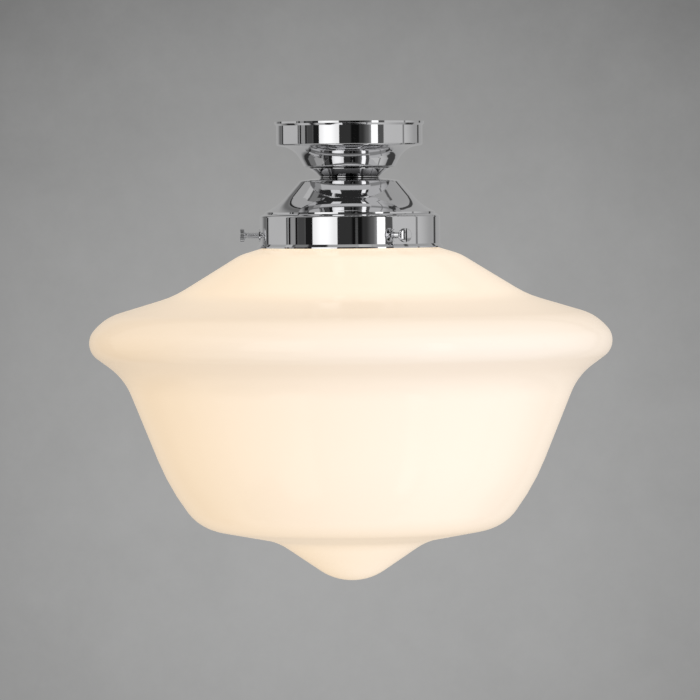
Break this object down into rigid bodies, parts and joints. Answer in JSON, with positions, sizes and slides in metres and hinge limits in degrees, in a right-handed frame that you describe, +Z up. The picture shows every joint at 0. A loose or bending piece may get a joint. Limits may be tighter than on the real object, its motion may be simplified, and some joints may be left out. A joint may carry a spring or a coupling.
{
  "type": "ceiling light",
  "caption": "Batten-fix ceiling light: a chromed canopy and gallery carry a lit opal schoolhouse glass shade on thumbscrews, with a screw-in lamp inside.",
  "frame": {"origin": "centre of the ceiling plane, level with the canopy's rim", "axes": "+Z up towards the ceiling along the light's axis, +X to the right of the front view, away from the left thumbscrew, and +Y away from the viewer"},
  "size_m": [0.3, 0.3, 0.2632],
  "materials": {
    "chrome": "polished chrome plate",
    "opal_glass": "gloss opal, lit from inside",
    "zinc_steel": "zinc plated",
    "brass": "plain brass",
    "tinned_copper": "tinned",
    "block_plastic": "natural nylon",
    "brown_sleeving": "brown sleeving",
    "blue_sleeving": "blue sleeving",
    "earth_sleeving": "green sleeving with a yellow stripe",
    "holder_plastic": "black moulding",
    "core_ceramic": "off-white insulator",
    "lamp_white": "satin white",
    "lamp_diffuser": "milky, lit from inside",
    "lamp_cap_metal": "nickel plated",
    "cap_glass": "black glass",
    "board_metal": "white coated",
    "chip": "yellow phosphor",
    "driver": "green board"
  },
  "bodies": {
    "fitting": {"active_wire": "brown_sleeving", "bracket_locknut": "zinc_steel", "canopy": "chrome", "canopy_nut": "zinc_steel", "centre_contact": "brass", "earth_lug": "tinned_copper", "earth_screw": "brass", "earth_wire": "earth_sleeving", "gallery": "chrome", "gallery_nut": "zinc_steel", "gallery_washer": "zinc_steel", "holder_cap": "holder_plastic", "holder_core": "core_ceramic", "holder_shell": "holder_plastic", "holder_sleeve": "brass", "holder_terminal_screws": "brass", "holder_terminals": "brass", "mounting_bracket": "zinc_steel", "neck_collar": "chrome", "neutral_wire": "blue_sleeving", "screw_bosses": "chrome", "terminal_block": "block_plastic", "terminal_clamps": "brass", "terminal_fixing_screw": "zinc_steel", "terminal_screws": "zinc_steel", "threaded_nipple": "brass"},
    "shade": {"glass_shade": "opal_glass"},
    "lamp": {"lamp_diffuser": "lamp_diffuser", "lamp_housing": "lamp_white", "lamp_cap": "lamp_cap_metal", "lamp_cap_insulator": "cap_glass", "lamp_contact": "lamp_cap_metal", "led_board": "board_metal", "led_chips": "chip", "driver_board": "driver"},
    "thumbscrew_left": {"thumbscrew_left": "chrome"},
    "thumbscrew_front": {"thumbscrew_front": "chrome"},
    "thumbscrew_rear": {"thumbscrew_rear": "chrome"}
  },
  "joints": [
    {"name": "thumbscrew_left_back_off", "type": "slide", "parent": "fitting", "child": "thumbscrew_left", "axis": [-1, 0, 0], "range_m": [0, 0.005]},
    {"name": "thumbscrew_front_back_off", "type": "slide", "parent": "fitting", "child": "thumbscrew_front", "axis": [0.5, -0.866, 0], "range_m": [0, 0.005]},
    {"name": "thumbscrew_rear_back_off", "type": "slide", "parent": "fitting", "child": "thumbscrew_rear", "axis": [0.5, 0.866, 0], "range_m": [0, 0.005]},
    {"name": "shade_turn", "type": "hinge", "parent": "fitting", "child": "shade", "pos_m": [0, 0, -0.0649], "axis": [0, 0, 1], "continuous": true},
    {"name": "lamp_unscrew", "type": "slide", "parent": "fitting", "child": "lamp", "axis": [0, 0, -1], "range_m": [0, 0.024]}
  ]
}
